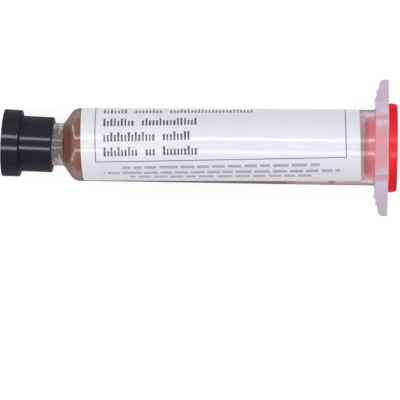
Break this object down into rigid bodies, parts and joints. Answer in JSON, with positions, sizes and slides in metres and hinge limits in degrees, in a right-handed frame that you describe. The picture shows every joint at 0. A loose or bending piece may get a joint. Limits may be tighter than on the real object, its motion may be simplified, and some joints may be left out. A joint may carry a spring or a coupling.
{
  "type": "flux syringe",
  "caption": "Capped plastic dispensing barrel filled with soldering flux: luer lock tip, finger flange, wiper piston, push-on tip cap and end cap, with a wrapped label.",
  "frame": {"origin": "on the barrel's axis, in the front face of the finger flange", "axes": "-X along the barrel's axis towards the luer tip; Y along the finger wings; +Z out of the printed side of the label, up when the syringe lies on the flange's flat"},
  "size_m": [0.0953, 0.033, 0.022],
  "materials": {
    "barrel": "translucent natural polypropylene, satin",
    "label": "coated paper, satin",
    "flux": "amber brown paste",
    "piston": "moulded polyethylene, satin",
    "tip_cap": "moulded polyethylene, glossy",
    "end_cap": "moulded polyethylene, semi-gloss"
  },
  "bodies": {
    "barrel": {"barrel": "barrel", "label": "label", "flux": "flux"},
    "piston": {"piston": "piston"},
    "tip_cap": {"tip_cap": "tip_cap"},
    "end_cap": {"end_cap": "end_cap"}
  },
  "joints": [
    {"name": "piston_slide", "type": "slide", "parent": "barrel", "child": "piston", "axis": [-1, 0, 0], "range_m": [0, 0.05], "deforming": ["flux"]},
    {"name": "tip_cap_pull", "type": "slide", "parent": "barrel", "child": "tip_cap", "axis": [-1, 0, 0], "range_m": [0, 0.02]},
    {"name": "end_cap_pull", "type": "slide", "parent": "barrel", "child": "end_cap", "axis": [1, 0, 0], "range_m": [0, 0.025]}
  ]
}
